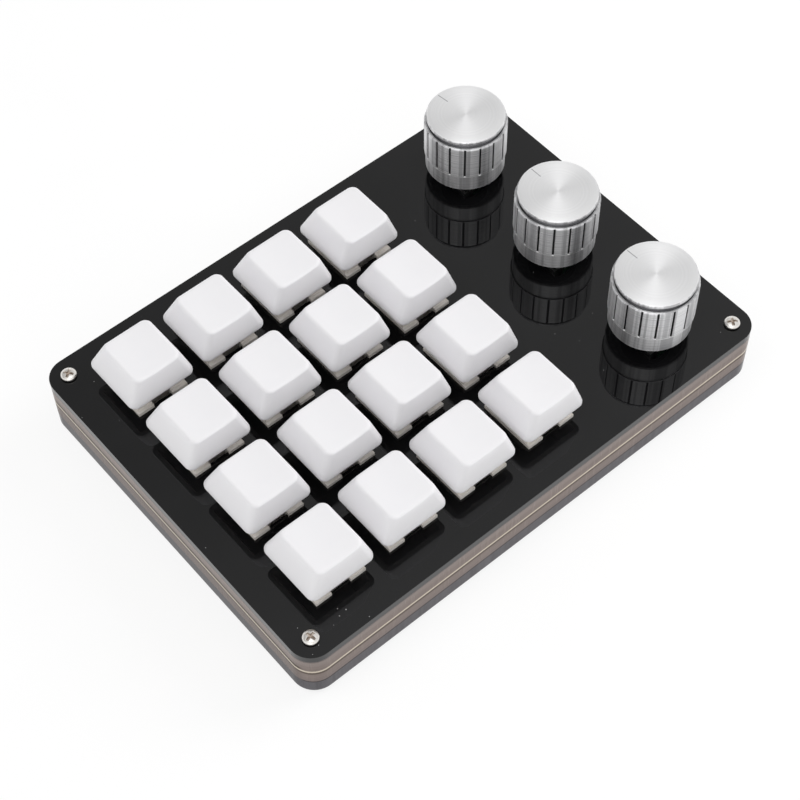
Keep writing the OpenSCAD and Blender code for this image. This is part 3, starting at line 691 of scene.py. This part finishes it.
def knob_mesh(place):
    """A lathe-turned cap whose slots are cut as real recesses."""
    shell = Shell()
    columns = slot_columns(math.radians(SLOT_TURNS[place] - TICK_TURNS[place]))
    n = len(columns)

    def ring(r, z):
        return circle(r, z, [a for a, _ in columns])

    def slotted(z, depth):
        """A ring of the grip at height z whose slots are depth deep."""
        return [((KNOB_R - depth * share) * math.cos(a), (KNOB_R - depth * share) * math.sin(a), z)
                for a, share in columns]

    band = [ring(UNDER_R, UNDER_H), ring(UNDER_R, 0.15), ring(UNDER_R + 0.15, 0.0),
            ring(BAND_R - 0.3, 0.0), ring(BAND_R, 0.3), ring(BAND_R, 2.0)]
    grip = [ring(BAND_R, BAND_H), ring(KNOB_R - 0.08, BAND_H), ring(KNOB_R, BAND_H + 0.08),
            ring(KNOB_R, SLOT_BOTTOM), slotted(SLOT_BOTTOM + 0.02, 0.1),
            slotted(SLOT_BOTTOM + SLOT_RAMP, SLOT_DEPTH), slotted(GRIP_MIDDLE, SLOT_DEPTH),
            slotted(BODY_TOP - 0.4, SLOT_DEPTH), slotted(BODY_TOP - 0.3, SLOT_DEPTH),
            ring(KNOB_R - 0.14, BODY_TOP - 0.15), ring(KNOB_R - 0.28, BODY_TOP - 0.02),
            ring(KNOB_R - 0.34, BODY_TOP)]
    disc = [ring(GROOVE_R, BODY_TOP), ring(GROOVE_R, KNOB_H - DISC_T),
            ring(DISC_R - 0.1, KNOB_H - DISC_T), ring(DISC_R, KNOB_H - DISC_T + 0.1),
            ring(DISC_R, KNOB_H - 0.26), ring(DISC_R - 0.24, KNOB_H - 0.02),
            ring(DISC_R - 0.3, KNOB_H)]
    top = [ring(DISC_R * share, KNOB_H) for share in (0.8, 0.6, 0.4, 0.2)]
    starts = shell.stack(band + grip + disc + top)
    shell.close(starts[-1], n)
    low, high = [shell.loop(ring(INSERT_R, z)) for z in (UNDER_H, INSERT_TOP)]
    bridge(shell.faces, low, starts[0], n)
    bridge(shell.faces, high, low, n)
    shell.close(high, n, flip=True)
    # the slots' walls turn sharply, so the shading breaks at their edges
    return new_mesh(f"knob_{place}", shell, 25)


def make_knobs(material):
    """Each knob has a mesh of its own, because its slots stand at another angle."""
    for place in PLACES:
        low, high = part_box(f"knob_cap_{place}")
        at = ((low.x + high.x) / 2, (low.y + high.y) / 2, low.z)
        turn = Matrix.Rotation(math.radians(TICK_TURNS[place]), 4, "Z")
        add_piece(f"turned_knob_{place}", knob_mesh(place), material, at, f"knob_{place}",
                  [f"knob_cap_{place}"], turn)


# --------------------------------------------------------------------- screws

HEAD_R = 2.0
HEAD_H = 1.3
HEAD_SIDE = 0.62            # height of the head's upright side
RECESS_DEEP = 0.75
RECESS_L = 2.7
RECESS_W = 0.7
THREAD_R = 1.0
THREAD_PITCH = 0.4
UPPER_SCREW_L = 5.0
LOWER_SCREW_L = 6.9
SCREW_SIDES = 96
HEAD_STEPS = 44
# how far each screw's cross is turned, in degrees
SCREW_TURNS = {"front_left": 12, "front_right": 57, "back_left": 38, "back_right": 80}


def head_height(r):
    """Height of a pan head at radius r: an upright side and a shallow dome."""
    t = min(1.0, r / HEAD_R)
    return HEAD_SIDE + (HEAD_H - HEAD_SIDE) * (1 - t ** 3.2) ** 0.62


def recess_depth(x, y):
    """Depth of the cross recess at a point of the head's top."""
    deep = 0.0
    for u, v in ((x, y), (y, x)):
        along = min(1.0, max(0.0, (RECESS_L / 2 - abs(u)) / 0.28))
        across = min(1.0, max(0.0, (RECESS_W / 2 - abs(v)) / 0.1))
        deep = max(deep, RECESS_DEEP * along * across * (1 - 0.45 * abs(u) / (RECESS_L / 2)))
    return deep


def screw_mesh(length):
    """A pan-head screw, its seat on z = 0, its thread down to -length."""
    shell = Shell()
    profile = [(THREAD_R * 0.6, -length)]
    z = -length
    while z < -0.5:
        profile += [(THREAD_R * 0.8, z + 0.05), (THREAD_R, z + THREAD_PITCH / 2)]
        z += THREAD_PITCH
    profile += [(THREAD_R * 0.85, -0.1), (THREAD_R * 0.85, 0.0)]
    profile += [(HEAD_R - 0.08, 0.0), (HEAD_R, 0.08), (HEAD_R, 0.55)]
    angles = [2 * math.pi * i / SCREW_SIDES for i in range(SCREW_SIDES)]
    loops = [circle(r, z, angles) for r, z in profile]
    for k in range(1, HEAD_STEPS):
        r = HEAD_R * (1 - k / HEAD_STEPS) ** 0.8
        loops.append([(x, y, head_height(r) - recess_depth(x, y))
                      for x, y, _ in circle(r, 0.0, angles)])
    starts = shell.stack(loops)
    shell.close(starts[0], SCREW_SIDES, flip=True)
    shell.close(starts[-1], SCREW_SIDES)
    return new_mesh("pan_head_screw", shell, 40)


def make_screws(material):
    """Four screws from above and four from below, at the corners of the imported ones."""
    low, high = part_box("case_screws")
    x = high.x - HEAD_R * MM
    y = high.y - HEAD_R * MM
    flip = Matrix.Rotation(math.pi, 4, "X")
    upper, lower = screw_mesh(UPPER_SCREW_L), screw_mesh(LOWER_SCREW_L)
    for name, degrees in SCREW_TURNS.items():
        sx = -1 if name.endswith("left") else 1
        sy = -1 if name.startswith("front") else 1
        spin = Matrix.Rotation(math.radians(degrees), 4, "Z")
        add_piece(f"screw_top_{name}", upper, material, (sx * x, sy * y, Z_PLATE * MM), "case",
                  ["case_screws"], spin)
        add_piece(f"screw_bottom_{name}", lower, material, (sx * x, sy * y, Z_BOTTOM * MM),
                  "case", ["case_screws"], flip @ spin)


def screw_finish():
    """Nickel-plated steel, with painted shade, dull and warm, in the recess and painted shade
    where the head meets the plate."""
    g = Graph("nickel_plate")
    x, y, z = g.xyz()
    # painted shade: the recess below the lit rim is darkened and warmed
    lit = g.smooth(z, HEAD_H - RECESS_DEEP, HEAD_H - 0.2)
    rim = g.smooth(g.length(x, y), RECESS_L / 2 - 0.2, RECESS_L / 2)
    clean = g.math("MAXIMUM", lit, rim)
    cloud = g.noise(3.0, 3.0, 0.6)
    bright = g.ramp(cloud, [(0.3, (0.74, 0.71, 0.67)), (0.7, (0.86, 0.84, 0.81))])
    tone = g.mix(clean, (0.34, 0.27, 0.22), bright)
    # painted shade: a dark ring round the foot of the head, where it meets the plate
    foot_shade = g.smooth(z, 0.25, 0.5, 1.0, 0.0)
    g.set(Base_Color=g.mix(foot_shade, tone, (0.04, 0.035, 0.035)))
    g.set(Metallic=1.0)
    g.set(Roughness=g.spread(cloud, 0.3, 0.7, 0.2, 0.32))
    g.set(Normal=g.bump(g.noise(12.0, 2.0), 0.004))
    return g.material


# ------------------------------------------------------------- the whole part

FINISHES = {
    "keycap": keycap_finish(),
    "housing": housing_finish(),
    "knob": knob_finish(),
    "plate": plate_finish(),
    "spacer": spacer_finish(),
    "bottom": bottom_finish(),
    "screws": screw_finish(),
    "board": board_finish(),
    "stem": plastic("blue_stem_plastic", (0.04, 0.12, 0.32), (0.05, 0.145, 0.37), 0.35, 1.0),
    "black_plastic": plastic("black_moulded_plastic", (0.016, 0.016, 0.017),
                             (0.026, 0.026, 0.027), 0.45, 0.8),
    "rubber": plastic("black_rubber", (0.014, 0.014, 0.014), (0.024, 0.024, 0.024),
                      0.75, 0.8, 0.02),
    "steel": metal("satin_steel", (0.5, 0.5, 0.5), (0.62, 0.615, 0.6), 0.3, 1.2),
    "brass": metal("satin_brass", (0.62, 0.44, 0.18), (0.74, 0.54, 0.24), 0.28, 1.2),
}

for part in frame["record"]["subparts"]:
    cad = frame["nodes"][part["node"]]
    finish = FINISHES[part["material_slot"]]
    if not cad.material_slots:
        cad.data.materials.append(finish)
    for held in cad.material_slots:
        held.material = finish

make_keycaps(FINISHES["keycap"])
make_knobs(FINISHES["knob"])
make_screws(FINISHES["screws"])


# --------------------------------------------------------------------- studio

# brightness of what lights the object, and of what its gloss mirrors
WORLD_LIGHT = 0.49
HORIZON = 1.0
SKY_LEFT = 0.51
SKY_RIGHT = 0.82
ZENITH = 1.0
BACKDROP = 1.0
# level directions across the photograph, to the right and away from the lens
RIGHTWARDS = (0.763, -0.646, 0.0)
AWAY = (0.63, 0.776, 0.0)
FLOOR_HALF = 6.0
FLOOR_WHITE = 0.2
FLOOR_LIFT = 0.82
SOFTBOX_SIZE = 0.5
SOFTBOX_AIM = Vector((0, 0, 0.02))
# the photograph's viewpoint, found from the places of the caps, knobs and edges
CAMERA_AT = (-0.168949, -0.206541, 0.380916)
CAMERA_TURN = (34.7397, 0.8065, -40.2404)       # degrees about x, y and z
CAMERA_LENS = 83.555
CAMERA_SENSOR = 36.0


def make_world():
    """Plain light for the object, a white backdrop for the lens, and for reflections a
    white horizon, a duller sky that brightens to the right, and a bright ceiling. Towards
    the lens the mirrored sky is white all the way up."""
    world = bpy.data.worlds.new("studio")
    bpy.context.scene.world = world
    world.use_nodes = True
    tree = world.node_tree
    tree.nodes.clear()

    def node(kind, inputs=(), **props):
        made = tree.nodes.new(kind)
        for key, value in props.items():
            setattr(made, key, value)
        for key, value in dict(inputs).items():
            if isinstance(value, bpy.types.NodeSocket):
                tree.links.new(value, made.inputs[key])
            else:
                made.inputs[key].default_value = value
        return made

    def fade(value, low, high, start, end):
        return node("ShaderNodeMapRange", {"Value": value, "From Min": low, "From Max": high,
                                           "To Min": start, "To Max": end}).outputs["Result"]

    direction = node("ShaderNodeTexCoord").outputs["Generated"]
    height = node("ShaderNodeSeparateXYZ", {0: direction}).outputs["Z"]
    across = node("ShaderNodeVectorMath", {0: direction, 1: RIGHTWARDS},
                  operation="DOT_PRODUCT").outputs["Value"]
    depth = node("ShaderNodeVectorMath", {0: direction, 1: AWAY},
                 operation="DOT_PRODUCT").outputs["Value"]
    sky = fade(across, -0.2, 0.2, SKY_LEFT, SKY_RIGHT)
    sky = fade(depth, -0.35, -0.1, HORIZON, sky)
    ceiling = fade(height, 0.84, 0.95, sky, ZENITH)
    mirrored = fade(height, 0.3, 0.6, HORIZON, ceiling)
    path = node("ShaderNodeLightPath")
    seen = node("ShaderNodeMath", {0: path.outputs["Is Glossy Ray"],
                                   1: path.outputs["Is Transmission Ray"]}, operation="MAXIMUM")
    lit = fade(seen.outputs[0], 0.0, 1.0, WORLD_LIGHT, mirrored)
    level = fade(path.outputs["Is Camera Ray"], 0.0, 1.0, lit, BACKDROP)
    background = node("ShaderNodeBackground", {"Color": (1, 1, 1, 1), "Strength": level})
    node("ShaderNodeOutputWorld", {"Surface": background.outputs[0]})


def make_floor():
    mesh = bpy.data.meshes.new("floor")
    h = FLOOR_HALF
    mesh.from_pydata([(-h, -h, 0), (h, -h, 0), (h, h, 0), (-h, h, 0)], [], [(0, 1, 2, 3)])
    floor = bpy.data.objects.new("floor", mesh)
    bpy.context.scene.collection.objects.link(floor)
    g = Graph("white_paper")
    paper = g.noise(0.02, 3.0)
    g.set(Base_Color=g.ramp(paper, [(0.3, FLOOR_WHITE * 0.99), (0.7, FLOOR_WHITE)]), Roughness=0.9)
    g.set(Emission_Color=g.ramp(paper, [(0.3, 0.99), (0.7, 1.0)]))
    g.shader.inputs["Emission Strength"].default_value = FLOOR_LIFT
    g.shader.inputs["Specular IOR Level"].default_value = 0.0
    mesh.materials.append(g.material)


def softbox(name, at, energy, mirrored):
    """A square light aimed at the object; mirrored tells whether its gloss shows it."""
    light = bpy.data.lights.new(name, "AREA")
    light.shape = "SQUARE"
    light.size = SOFTBOX_SIZE
    light.energy = energy
    lamp = bpy.data.objects.new(name, light)
    bpy.context.scene.collection.objects.link(lamp)
    lamp.visible_glossy = mirrored
    lamp.location = at
    lamp.rotation_euler = (SOFTBOX_AIM - Vector(at)).to_track_quat("-Z", "Y").to_euler()


def make_camera():
    camera = bpy.data.cameras.new("camera")
    camera.lens = CAMERA_LENS
    camera.sensor_width = CAMERA_SENSOR
    camera.clip_start = 0.01
    camera.clip_end = 50.0
    seat = bpy.data.objects.new("camera", camera)
    bpy.context.scene.collection.objects.link(seat)
    seat.location = CAMERA_AT
    seat.rotation_euler = [math.radians(degrees) for degrees in CAMERA_TURN]
    bpy.context.scene.camera = seat


make_world()
make_floor()
softbox("left_front_softbox", (-0.5, -0.5, 0.5), 0.58, True)
softbox("overhead_softbox", (-0.05, -0.06, 0.9), 0.55, True)
softbox("right_softbox", (0.7, -0.2, 0.5), 3.6, False)
softbox("top_left_softbox", (-0.45, 0.1, 0.8), 1.54, False)
make_camera()
bpy.context.scene.view_settings.view_transform = "Standard"
